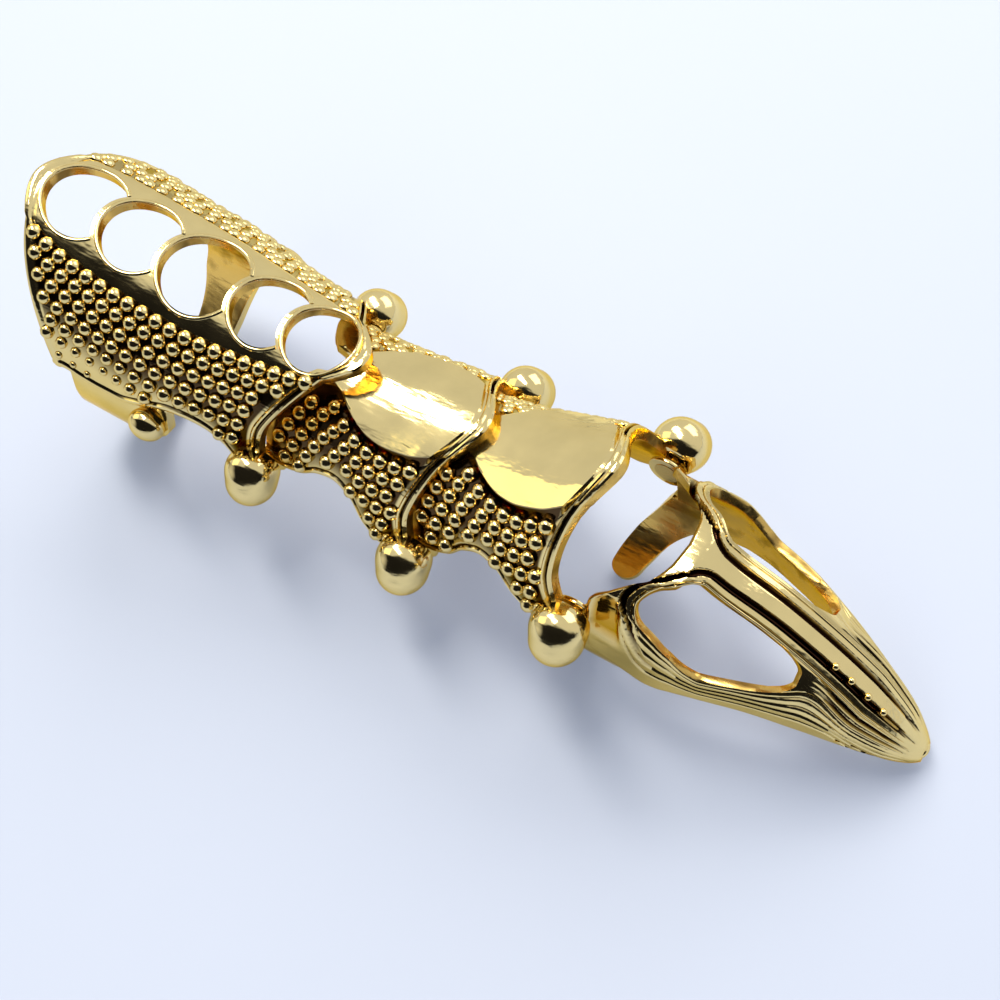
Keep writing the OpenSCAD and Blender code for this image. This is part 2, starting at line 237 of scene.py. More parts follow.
def goldSurface():
    group = bpy.data.node_groups.new("goldSurface", "ShaderNodeTree")
    face = group.interface
    for name in ("Light", "SpotsAndShade"):
        face.new_socket(name=name, in_out="INPUT", socket_type="NodeSocketColor")
    for name in surfaceValues:
        face.new_socket(name=name, in_out="INPUT", socket_type="NodeSocketFloat")
    face.new_socket(name="Color", in_out="OUTPUT", socket_type="NodeSocketColor")
    face.new_socket(name="Roughness", in_out="OUTPUT", socket_type="NodeSocketFloat")
    face.new_socket(name="Height", in_out="OUTPUT", socket_type="NodeSocketFloat")
    nodes, links = group.nodes, group.links
    start, end = nodes.new("NodeGroupInput"), nodes.new("NodeGroupOutput")
    place = nodes.new("ShaderNodeTexCoord")
    cloud = nodes.new("ShaderNodeTexNoise")
    cloud.inputs["Detail"].default_value = goldLook["cloudDetail"]
    fine = nodes.new("ShaderNodeTexNoise")
    fine.inputs["Detail"].default_value = goldLook["fineDetail"]
    wide = nodes.new("ShaderNodeMath")
    wide.operation = "MULTIPLY"
    wide.inputs[1].default_value = goldLook["cloudScale"]
    links.new(start.outputs["Grain"], wide.inputs[0])
    links.new(wide.outputs[0], cloud.inputs["Scale"])
    links.new(start.outputs["Grain"], fine.inputs["Scale"])
    links.new(place.outputs["Object"], cloud.inputs["Vector"])
    brushed = nodes.new("ShaderNodeVectorMath")  # longer along the finger
    brushed.operation = "MULTIPLY"
    brushed.inputs[1].default_value = goldLook["brush"]
    links.new(place.outputs["Object"], brushed.inputs[0])
    links.new(brushed.outputs["Vector"], fine.inputs["Vector"])
    # painted shade: darkens grooves and the ground between studs towards the dark colour, which the casting
    # spots also use
    recess = nodes.new("ShaderNodeAttribute")  # 1 in grooves and between studs
    recess.attribute_name = "recess"
    spots = nodes.new("ShaderNodeMapRange")  # dark casting spots where Mottle is up
    spots.inputs["From Min"].default_value, spots.inputs["From Max"].default_value = goldLook["spots"]
    links.new(cloud.outputs["Fac"], spots.inputs["Value"])
    links.new(start.outputs["Mottle"], spots.inputs["To Max"])
    darkest = nodes.new("ShaderNodeMath")
    darkest.operation = "MAXIMUM"
    links.new(recess.outputs["Fac"], darkest.inputs[0])
    links.new(spots.outputs["Result"], darkest.inputs[1])
    # painted warm reflection: the light colour turns orange-brown where gold would mirror shaded gold
    paintedWarmth = nodes.new("ShaderNodeAttribute")  # 1 by the rim of the plate behind and in the ear hollows
    paintedWarmth.attribute_name = "paintedWarmth"
    reddened = nodes.new("ShaderNodeMix")
    reddened.data_type = "RGBA"
    reddened.inputs["B"].default_value = (*goldLook["paintedWarmth"], 1)
    links.new(paintedWarmth.outputs["Fac"], reddened.inputs["Factor"])
    links.new(start.outputs["Light"], reddened.inputs["A"])
    tint = nodes.new("ShaderNodeMix")
    tint.data_type = "RGBA"
    links.new(darkest.outputs[0], tint.inputs["Factor"])
    links.new(reddened.outputs["Result"], tint.inputs["A"])
    links.new(start.outputs["SpotsAndShade"], tint.inputs["B"])
    shade = nodes.new("ShaderNodeMix")
    shade.data_type = "RGBA"
    shade.blend_type = "MULTIPLY"
    shade.inputs["Factor"].default_value = goldLook["shade"]
    links.new(tint.outputs["Result"], shade.inputs["A"])
    links.new(cloud.outputs["Fac"], shade.inputs["B"])
    links.new(shade.outputs["Result"], end.inputs["Color"])
    rough = nodes.new("ShaderNodeMapRange")
    rough.inputs["From Min"].default_value, rough.inputs["From Max"].default_value = goldLook["dulled"]
    links.new(cloud.outputs["Fac"], rough.inputs["Value"])
    links.new(start.outputs["Polish"], rough.inputs["To Min"])
    links.new(start.outputs["Dull"], rough.inputs["To Max"])
    links.new(rough.outputs["Result"], end.inputs["Roughness"])
    peel = nodes.new("ShaderNodeMath")
    peel.operation = "MULTIPLY"
    links.new(fine.outputs["Fac"], peel.inputs[0])
    links.new(start.outputs["Peel"], peel.inputs[1])
    links.new(peel.outputs[0], end.inputs["Height"])
    return group


surfaceGroup = goldSurface()


def gold(name):
    light, *values = finishes[name]
    material = bpy.data.materials.new(name)
    material.use_nodes = True
    nodes, links = material.node_tree.nodes, material.node_tree.links
    shader = nodes["Principled BSDF"]
    shader.inputs["Metallic"].default_value = 1
    surface = nodes.new("ShaderNodeGroup")
    surface.node_tree = surfaceGroup
    surface.inputs["Light"].default_value = (*light, 1)
    surface.inputs["SpotsAndShade"].default_value = (*goldLook["spotsAndShade"], 1)
    for socket, value in zip(surfaceValues, values):
        surface.inputs[socket].default_value = value
    bump = nodes.new("ShaderNodeBump")
    bump.inputs["Strength"].default_value = 1
    bump.inputs["Distance"].default_value = goldLook["bump"]
    links.new(surface.outputs["Color"], shader.inputs["Base Color"])
    links.new(surface.outputs["Color"], shader.inputs["Specular Tint"])
    links.new(surface.outputs["Roughness"], shader.inputs["Roughness"])
    links.new(surface.outputs["Height"], bump.inputs["Height"])
    links.new(bump.outputs["Normal"], shader.inputs["Normal"])
    return material


polishedGold = gold("polishedGold")
innerGoldPaintedWarm = gold("innerGoldPaintedWarm")
pinGold = gold("pinGold")
print("gold finishes made")


def dress(piece, body, node):
    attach(piece, body)
    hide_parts(node)


# hinge line of the assembly, as [x, z]
hinges = {"pitch": 15.95, "firstX": -16.5, "firstZ": 10.6, "firstSlope": -5.3, "secondSlope": 11.9}


def along(spot, length, slope):
    turn = math.radians(slope)
    return (spot[0] + length * math.cos(turn), spot[1] + length * math.sin(turn))


axis1 = (hinges["firstX"], hinges["firstZ"])
axis2 = along(axis1, hinges["pitch"], hinges["firstSlope"])
axis3 = along(axis2, hinges["pitch"], hinges["secondSlope"])


def settle(axis, slope, point):
    # from a plate's own millimetres to where it lies
    turn = math.radians(slope)
    x, y, z = point
    return Vector((axis[0] + x * math.cos(turn) - z * math.sin(turn), y,
                   axis[1] + x * math.sin(turn) + z * math.cos(turn)))


# saddle-shaped plates; part is the way from the crest line (0) to the lower edge (1), and share is the
# distance from the crest line over the half width

saddle = {
    "step": 0.01, "lowestCosine": -0.6, "lengthParts": 24,
    "crestPart": 0.34, "sidePart": 0.66, "crestShare": 0.42, "sideAngles": (24.83, 88),
    "crestRise": 0.1, "crestRim": 0.15, "grooveShade": 0.9, "farShade": 0.35,
}


def shareAt(part):
    if part < saddle["crestPart"]:
        return saddle["crestShare"] * part / saddle["crestPart"]
    angle = mix(*saddle["sideAngles"], (part - saddle["crestPart"]) / saddle["sidePart"])
    return math.sin(math.radians(angle))


def saddlePoint(plate, x, angle):
    a, centre = plate["half"](x), plate["centre"](x)
    return Vector((x, a * math.copysign(abs(math.sin(angle)) ** plate["roundness"], angle),
                   centre + (plate["top"](x) - centre) * math.cos(angle)))


def saddleNormal(plate, x, angle):
    step = saddle["step"]
    if abs(angle) < step:
        angle = math.copysign(step, angle)
    alongX = saddlePoint(plate, x + step, angle) - saddlePoint(plate, x - step, angle)
    across = saddlePoint(plate, x, angle + step / 3) - saddlePoint(plate, x, angle - step / 3)
    return alongX.cross(across).normalized()


def angleAt(plate, x, y):
    return math.asin(min(1, abs(y) / plate["half"](x)) ** (1 / plate["roundness"]))


def lowAngle(plate, x):
    centre = plate["centre"](x)
    return math.acos(max(saddle["lowestCosine"], (plate["low"](x) - centre) / (plate["top"](x) - centre)))


def downLength(plate, x, start, end):
    parts = saddle["lengthParts"]
    spots = [saddlePoint(plate, x, mix(start, end, k / parts)) for k in range(parts + 1)]
    return sum((b - a).length for a, b in zip(spots, spots[1:]))


def saddleSheet(name, plate, axis, slope):
    # columns: crest band, its edge, studded side, lower border; rows: rear border, middle, front rim
    crestCols, sideCols = plate["crestCols"], plate["sideCols"]
    edgeSteps, lowSteps = plate["edgeSteps"], plate["lowSteps"]
    half = crestCols + len(edgeSteps) + sideCols + len(lowSteps)
    rearSteps, frontSteps, middleRows = plate["rearSteps"], plate["frontSteps"], plate["rows"]
    rows = len(rearSteps) + middleRows + len(frontSteps)
    edgeReach, lowReach = edgeSteps[-1][0], lowSteps[0][0]

    def spot(row, col, relief):
        j, side = abs(col - half), (1 if col >= half else -1)
        if j <= crestCols:
            part = saddle["crestPart"] * j / crestCols
        else:
            part = mix(saddle["crestPart"], 1, (j - crestCols) / (half - crestCols))
        share = shareAt(part)
        rear, front = plate["rear"](share), plate["front"](share)
        k = row - len(rearSteps)
        if row < len(rearSteps):
            x, rise = rear + rearSteps[row][0], rearSteps[row][1]
        elif k <= middleRows:
            x = mix(rear + rearSteps[-1][0], front - frontSteps[0][0], (k + 1) / (middleRows + 2))
            rise = 0
        else:
            reach, rise = frontSteps[k - middleRows - 1]
            x = front - reach
            if j <= crestCols and rise < 0:
                rise = saddle["crestRim"]  # the front rim's groove fades out on the crest
        edge, low = angleAt(plate, x, plate["edge"](x)), lowAngle(plate, x)
        perMm = (low - edge) / downLength(plate, x, edge, low)
        borders = perMm * edgeReach, perMm * lowReach
        inside = 0 < k < middleRows
        if j <= crestCols:
            angle = edge * j / crestCols
            rise += (saddle["crestRise"] + plate["stand"](x) * (j / crestCols) ** 2) if inside else 0
        elif j <= crestCols + len(edgeSteps):
            reach, lift = edgeSteps[j - crestCols - 1]
            angle = edge + perMm * reach
            rise += lift * (saddle["crestRise"] + plate["stand"](x)) if inside else 0
        elif j <= half - len(lowSteps):
            down = (j - crestCols - len(edgeSteps)) / (sideCols + 1)
            angle = mix(edge + borders[0], low - borders[1], down)
        else:
            reach, lift = lowSteps[j - (half - len(lowSteps)) - 1]
            angle = low - perMm * reach
            rise = max(rise, lift) if lift >= 0 or rise > 0 else lift
        angle *= side
        point = saddlePoint(plate, x, angle) + relief * rise * saddleNormal(plate, x, angle)
        return settle(axis, slope, point)

    def recess(row, col):
        # painted shade: a groove (a lift below zero in the steps) is darkened, and so is the ground between
        # the studs, less on the far side and fading towards the lower border
        j, k = abs(col - half), row - len(rearSteps)
        if j > half - len(lowSteps) and 0 < k < middleRows:
            return saddle["grooveShade"] if lowSteps[j - (half - len(lowSteps)) - 1][1] < 0 else 0
        if k > middleRows and crestCols < j < half:
            return saddle["grooveShade"] if frontSteps[k - middleRows - 1][1] < 0 else 0
        if crestCols < j <= half - len(lowSteps) and 0 < k < middleRows:
            shade = plate["shade"](k / middleRows, (j - crestCols) / (half - crestCols))
            return shade * (saddle["farShade"] if col > half else 1)
        return 0

    return shell(name, rows, 2 * half, plate["wall"], lambda row, col: spot(row, col, 0),
                 raised=lambda row, col: spot(row, col, 1), recess=recess)


studShape = {  # rows and cols are upper limits: studs that would stand off the plate are left out
    "radius": 0.72, "sides": 10, "rings": 6, "cutBelow": 0.55, "rows": 20, "cols": 34,
    "farTall": 0.6, "farStray": 0.3, "strayTurns": (2.3, 1.7),
    # painted warm reflection on studs by the rim of the plate behind: span, and strength near and far
    "paintedWarmthSpan": (0.8, 2.8), "paintedWarmthNear": 0.85, "paintedWarmthFar": 0.3,
}


def studModel():
    deselectAll()
    bpy.ops.mesh.primitive_uv_sphere_add(segments=studShape["sides"], ring_count=studShape["rings"],
                                         radius=studShape["radius"] * mm)
    stud = bpy.context.object
    stud.name = "stud"
    bpy.ops.object.mode_set(mode="EDIT")
    bpy.ops.mesh.select_all(action="DESELECT")
    bpy.ops.object.mode_set(mode="OBJECT")
    for point in stud.data.vertices:
        point.select = point.co.z < -studShape["cutBelow"] * studShape["radius"] * mm
    bpy.ops.object.mode_set(mode="EDIT")
    bpy.ops.mesh.delete(type="VERT")
    bpy.ops.object.mode_set(mode="OBJECT")
    bpy.ops.object.shade_smooth()
    stud.data.materials.append(polishedGold)
    return stud


stud = studModel()


def studRows(name, plate, axis, slope, cover=None):
    # cover(share) is where the rim of the plate behind ends: studs near it are given a painted warm
    # reflection of its shaded underside
    copies = []
    pitch, drop = plate["studPitch"], plate["studDrop"]
    first = min(plate["rear"](0), plate["rear"](1))
    rowTurn, colTurn = studShape["strayTurns"]
    for side in (-1, 1):
        scale = plate["farScale"] if side > 0 else 1
        for row in range(studShape["rows"]):
            for k in range(studShape["cols"]):
                x = first + (k + 0.5 * (row % 2)) * pitch * scale
                if side > 0:
                    x += studShape["farStray"] * math.sin(rowTurn * row + colTurn * k)
                edge, low = angleAt(plate, x, plate["edge"](x)), lowAngle(plate, x)
                length = downLength(plate, x, edge, low)
                down = plate["studStart"] + (row * drop + row * row * plate["studSpread"]) * scale
                if down > length - plate["studLow"]:
                    continue
                angle = mix(edge, low, down / length)
                point = saddlePoint(plate, x, angle)
                share = abs(point.y) / plate["half"](x)
                if (x < plate["rear"](share) + plate["studRear"]
                        or x > plate["front"](share) - plate["studFront"]):
                    continue
                size = plate["studSize"](x, axis1[1] + point.z) * scale
                # small studs are flatter too
                tall = size * min(1, 0.4 + 0.6 * size) * (studShape["farTall"] if side > 0 else 1)
                normal = saddleNormal(plate, x, angle * side)
                point = saddlePoint(plate, x, angle * side)
                copy = stud.copy()
                copy.data = stud.data.copy()
                if cover:
                    near = 1 - climb(x - cover(share), *studShape["paintedWarmthSpan"])
                    glow = near * studShape["paintedWarmthNear" if side < 0 else "paintedWarmthFar"]
                    amount = copy.data.attributes.new("paintedWarmth", "FLOAT", "POINT")
                    amount.data.foreach_set("value", [glow] * len(copy.data.vertices))
                bpy.context.scene.collection.objects.link(copy)
                turn = math.radians(slope)
                facing = Vector((normal.x * math.cos(turn) - normal.z * math.sin(turn), normal.y,
                                 normal.x * math.sin(turn) + normal.z * math.cos(turn)))
                copy.matrix_world = (Matrix.Translation(settle(axis, slope, point) * mm)
                                     @ facing.to_track_quat("Z", "Y").to_matrix().to_4x4()
                                     @ Matrix.Diagonal((size, size, tall, 1)))
                copies.append(copy)
    studs = joined(name, copies)
    bpy.ops.object.transform_apply(location=True, rotation=True, scale=True)
    print(name, len(copies))
    return studs


ear = {
    "ball": 2.25, "y": 9.9, "long": 1.044, "flat": 7.9, "flatCutter": (8, 4, 8),
    "neck": 0.8, "neckWay": (-0.1, -0.58, 0.81), "neckSpan": (-0.1, 1.1),
    "flare": 0.95, "flareSpan": (0.8, 0.2),
    "tab": 1.7, "tabY": 6.95, "tabDepth": 0.42, "tabEdge": 0.12, "pin": 0.66,
}


def earFlare(share):
    # the front rim's lower ends reach forward to the ears
    return ear["flare"] * climb(share, *ear["flareSpan"])


def ballEars(name, axis):
    # a knob on each side that goes through the plate's wall, flat where the next plate turns inside it
    ears = []
    for side in (-1, 1):
        deselectAll()
        middle = Vector((axis[0], side * ear["y"], axis[1]))
        bpy.ops.mesh.primitive_uv_sphere_add(segments=48, ring_count=28, radius=ear["ball"] * mm,
                                             location=middle * mm, rotation=(math.pi / 2, 0, 0))
        ball = bpy.context.object
        ball.scale.z = ear["long"]
        bpy.ops.object.transform_apply(location=True, rotation=True, scale=True)
        wayX, wayY, wayZ = ear["neckWay"]
        toRim = Vector((wayX, wayY * side, wayZ))
        for point in ball.data.vertices:
            way = (point.co / mm - middle).normalized()
            point.co += way * ear["neck"] * climb(way.dot(toRim), *ear["neckSpan"]) * mm
        cutterY = ear["flat"] - ear["flatCutter"][1] / 2
        cut(ball, block(ear["flatCutter"], (axis[0], side * cutterY, axis[1])))
        ears.append(smoothed(ball, angle=50))
    return joined(name, ears)


def tabEars(name, axis):
    tabs = []
    for side in (-1, 1):
        across = (math.pi / 2, 0, 0)
        tab = post(ear["tab"], ear["tabDepth"],
                   (axis[0], side * (ear["tabY"] + ear["tabDepth"] / 2), axis[1]), across, sides=48)
        soften(tab, ear["tabEdge"])
        cut(tab, post(ear["pin"], 4, (axis[0], side * ear["tabY"], axis[1]), across, sides=32))
        tabs.append(smoothed(tab))
    return joined(name, tabs)


# base plate: five large holes along the crest, studded sides, finger band below

basePlate = {
    "rear": lambda share: -26 + 4.9 * share ** 1.5,
    "front": lambda share: mix(-0.9, 8.15, (1 - min(1, share) ** 2) ** 1.3) + earFlare(share),
    "half": lambda x: mix(8.8, 10.4, ease(-x / 14)) + 0.5 * ease((-x - 14) / 10),
    "centre": lambda x: mix(8.6, 10, ease(-x / 14)) - axis1[1],
    "top": lambda x: 10.7 + 5.7 * max(0, (8.15 - x) / 34.15) ** 1.8,
    "low": lambda x: smooth(x, [[-26, 14.6], [-20, 14.5], [-18, 13.9], [-16, 13.5], [-14, 13.4],
                                [-11.3, 13.9], [-8.6, 14.3], [-7, 14.1], [-5, 13.5], [-3.4, 12.3],
                                [-2, 9.9], [-1, 9.3], [0, 9.3]]) - axis1[1],
    "edge": lambda x: smooth(x, [[-26, 3.3], [-19.5, 4.5], [-14.4, 4.75], [-9.2, 4.75], [-4.4, 4.4],
                                 [0, 3.9], [3.4, 3.4], [6, 2.8], [8, 2.4]]),
    "roundness": 0.84, "wall": 0.85, "stand": lambda x: 0.05,
    "shade": lambda forward, down: 0.95 * (1 - ease((down - mix(0.4, 0.7, forward)) / 0.3)),
    "crestCols": 20, "sideCols": 26, "rows": 110,
    "edgeSteps": [(0.12, 0.6), (0.25, 0)],
    "lowSteps": [(0.8, 0), (0.7, -0.08), (0.58, -0.08), (0.46, 0.12), (0.3, 0.16), (0.12, 0.12), (0, 0)],
    "rearSteps": [(0, 0), (0.15, 0.12), (0.45, 0.16), (0.7, 0.12), (0.85, 0)],
    "frontSteps": [(1.1, 0), (1, 0.14), (0.85, 0.22), (0.7, 0.2), (0.58, -0.06), (0.42, -0.06), (0.3, 0.16),
                   (0.14, 0.14), (0, 0)],
    "studPitch": 1.45, "studDrop": 1.4, "studSpread": 0.04, "studStart": 0.75, "studLow": 1.0,
    "studRear": 0.95, "studFront": 1.6, "farScale": 0.85,
    "studSize": lambda x, z: mix(1, 0.5, ease((-x - 9) / 8) * ease((19.2 - z) / 3.8)),
    # place and radius of each hole in the crest
    "holes": [(-21.05, 3.5), (-15.3, 3.45), (-8.65, 3.85), (-1.85, 3.35), (3.45, 3.15)],
    "bridge": 0.6, "cutterZ": 25, "cutterTall": 20,
    "lipWidth": 0.42, "lipHeight": 0.2, "lipIn": 0.04, "lipOverlap": 0.2, "lipSides": 12,
}


def baseTop(x, y):
    # height of the base plate's outer face over the place x, y
    return axis1[1] + saddlePoint(basePlate, x, angleAt(basePlate, x, y)).z


def baseHoles(plate):
    # each hole stops short of the next one's lip
    holes, tall, z = basePlate["holes"], basePlate["cutterTall"], basePlate["cutterZ"]
    for k, (x, radius) in enumerate(holes):
        tool = post(radius, tall, (axis1[0] + x, 0, z))
        if k < len(holes) - 1:
            nextX, nextRadius = holes[k + 1]
            cut(tool, post(nextRadius + basePlate["bridge"], tall + 4, (axis1[0] + nextX, 0, z)))
        tool.data.materials.append(polishedGold)
        tool.data.materials.append(innerGoldPaintedWarm)
        for wallFace in tool.data.polygons:
            wallFace.material_index = 1
        cut(plate, tool)


def baseLips():
    # a round lip on each hole, which follows the plate's face and stops at the next hole's lip
    lips = []
    holes = basePlate["holes"]
    for k, (x, radius) in enumerate(holes):
        deselectAll()
        middle = radius + basePlate["lipWidth"] / 2 - basePlate["lipIn"]
        bpy.ops.mesh.primitive_torus_add(major_segments=96, minor_segments=basePlate["lipSides"],
                                         major_radius=middle * mm,
                                         minor_radius=basePlate["lipWidth"] / 2 * mm)
        lip = bpy.context.object
        if k < len(holes) - 1:
            nextX, nextRadius = holes[k + 1]
            bpy.ops.object.mode_set(mode="EDIT")
            bpy.ops.mesh.select_all(action="DESELECT")
            bpy.ops.object.mode_set(mode="OBJECT")
            for point in lip.data.vertices:
                angle = math.atan2(point.co.y, point.co.x)
                place = Vector((x + middle * math.cos(angle) - nextX, middle * math.sin(angle)))
                point.select = place.length < nextRadius + basePlate["bridge"] - basePlate["lipOverlap"]
            bpy.ops.object.mode_set(mode="EDIT")
            bpy.ops.mesh.delete(type="VERT")
            bpy.ops.mesh.select_all(action="SELECT")
            bpy.ops.mesh.fill_holes(sides=basePlate["lipSides"])
            bpy.ops.object.mode_set(mode="OBJECT")
        for point in lip.data.vertices:
            px, py, pz = point.co / mm
            angle = math.atan2(py, px)
            ground = baseTop(x + middle * math.cos(angle), middle * math.sin(angle))
            rise = pz * basePlate["lipHeight"] * 2 / basePlate["lipWidth"]
            point.co = Vector((axis1[0] + x + px, py, ground + rise)) * mm
        lips.append(smoothed(lip, angle=60))
    return lips


bandGrid = {"rows": 60, "cols": 14, "gather": 1.4}  # rows stand closer at the round end
fingerBand = {
    "outer": 10.2, "wall": 0.9, "gap": 1.6, "end": 2.15, "top": 14.8, "curls": True, "edge": 0.2,
    # x of each side by height
    "rear": [[-1, -38.4], [6, -38.4], [9.5, -37.6], [12.5, -37.1], [15, -37.1]],
    "front": [[-1, -34.1], [0, -34.1], [3, -33.6], [6.5, -32.1], [8.5, -30], [10, -27], [12, -25.4],
              [15, -25.2]],
    # size and place of the knob on the near and the far side
    "knobs": {-1: ((1.75, 1.4, 1.6), (-27.4, 10.6, 12.3)), 1: ((2.1, 1, 1.7), (-27.6, 10.2, 11.8))},
}


def bandArm(name, band, side):
    # one arm of an open band, from its round end below up to the plate; it curls in or goes straight up
    rows, cols = bandGrid["rows"], bandGrid["cols"]
    outer, quarter = band["outer"], band["outer"] * math.pi / 2
    start = outer * math.asin(band["gap"] / outer)
    if band["curls"]:
        length = quarter + outer * math.asin((band["top"] - outer) / outer) - start
    else:
        length = quarter + band["top"] - outer - start

    def spot(row, col):
        reach = length * (row / rows) ** bandGrid["gather"]
        if band["curls"] or start + reach < quarter:
            angle = (start + reach) / outer
            y, z = outer * math.sin(angle), outer * (1 - math.cos(angle))
        else:
            y, z = outer, outer + start + reach - quarter
        short = band["end"] - min(band["end"], reach)
        trim = band["end"] - math.sqrt(max(0, band["end"] ** 2 - short ** 2))
        rear = smooth(z, band["rear"]) + trim
        front = smooth(z, band["front"]) - trim
        # rows run up the arm, so the sides change places to keep the face outwards
        share = col / cols if side < 0 else 1 - col / cols
        return mix(front, rear, share), side * y, z

    arm = shell(name, rows, cols, band["wall"], spot)
    soften(arm, band["edge"], limit=50)
    return smoothed(arm)


def bandKnob(side):
    # rounded corner where the band leaves the plate
    deselectAll()
    size, (x, y, z) = fingerBand["knobs"][side]
    bpy.ops.mesh.primitive_uv_sphere_add(segments=32, ring_count=20, radius=mm,
                                         location=Vector((x, side * y, z)) * mm)
    knob = bpy.context.object
    knob.scale = size
    bpy.ops.object.transform_apply(location=True, rotation=True, scale=True)
    return smoothed(knob)


def makeBasePlate():
    plate = saddleSheet("base", basePlate, axis1, 0)
    baseHoles(plate)
    smoothed(plate, angle=35)
    arms = [bandArm("arm", fingerBand, side) for side in (-1, 1)]
    knobs = [bandKnob(side) for side in (-1, 1)]
    studs = studRows("baseStuds", basePlate, axis1, 0)
    ears = ballEars("baseEars", axis1)
    return joined("basePlateGold", [plate, studs, ears] + baseLips() + arms + knobs)


base = makeBasePlate()
dress(base, "base", "base_plate")
print("base plate made", len(base.data.polygons))


# knuckle plates: smooth raised panel along the crest, studded sides, raised front rim

knucklePlate = {
    "rear": lambda share: mix(5.2, 0, ease(share * 1.1)),
    "front": lambda share: 15 + 3.8 * (1 - min(1, share) ** 2) ** 2.3 + earFlare(share),
    "half": lambda x: mix(7.7, 8.8, ease((x - 3) / 12.95)),
    "centre": lambda x: -2,
    "top": lambda x: 8.75 + 2.55 * (max(0, x) / 18.9) ** 2.1,
    "low": lambda x: smooth(x, [[-4, 1.2], [1.5, 0.3], [3.5, 0.8], [5.5, 2.2], [7.5, 2.8], [9.3, 2.2],
                                [10.8, 0.2], [12.6, -1.1], [16, -1.3]]),
    "edge": lambda x: smooth(x, [[-4, 1.0], [1, 1.15], [4, 1.5], [5.6, 2.0], [7, 2.85], [8.5, 3.55],
                                 [10, 4.0], [11.7, 4.2], [13.9, 4.1], [16, 3.6], [19, 2.6]]),
    "stand": lambda x: smooth(x, [[4, 0], [5.5, 0.14], [7, 0.36], [9, 0.58], [12, 0.66], [14.5, 0.62],
                                  [16.5, 0.36], [19, 0.15]]),
    "roundness": 1, "wall": 0.85,
    "shade": lambda forward, down: 0.95 * (1 - ease((down - 0.62) / 0.35)),
    "crestCols": 14, "sideCols": 24, "rows": 60,
    "edgeSteps": [(0.15, 0.9), (0.5, 0.5), (0.85, 0.15), (1.1, 0)],
    "lowSteps": [(0.72, 0), (0.62, -0.06), (0.5, -0.06), (0.4, 0.1), (0.26, 0.14), (0.12, 0.1), (0, 0)],
    "rearSteps": [(0, 0), (0.3, 0)],
    "frontSteps": [(1.1, 0), (1, 0.18), (0.86, 0.28), (0.7, 0.26), (0.58, -0.05), (0.42, -0.05), (0.3, 0.2),
                   (0.14, 0.16), (0, 0)],
    "studPitch": 1.45, "studDrop": 1.4, "studSpread": 0.03, "studStart": 1.6, "studLow": 0.85,
    "studRear": 1.1, "studFront": 1.5, "farScale": 0.85, "studSize": lambda x, z: 1,
}


def makeKnucklePlate(name, axis, slope, cover):
    plate = saddleSheet("panel", knucklePlate, axis, slope)
    smoothed(plate, angle=35)
    studs = studRows(name + "Studs", knucklePlate, axis, slope, cover)
    return joined(name, [plate, studs, tabEars("tabs", axis),
                         ballEars("ears", along(axis, hinges["pitch"], slope))])


firstKnuckle = makeKnucklePlate("knucklePlate1Gold", axis1, hinges["firstSlope"], basePlate["front"])
dress(firstKnuckle, "plate_1", "knuckle_plate_1")
secondKnuckle = makeKnucklePlate("knucklePlate2Gold", axis2, hinges["secondSlope"],
                                 lambda share: knucklePlate["front"](share) - hinges["pitch"])
dress(secondKnuckle, "plate_2", "knuckle_plate_2")
print("knuckle plates made", len(firstKnuckle.data.polygons))

bpy.data.objects.remove(stud)


# claw tip: hoop with lips, ridge between two grooves, grooved rails round the side openings, round point

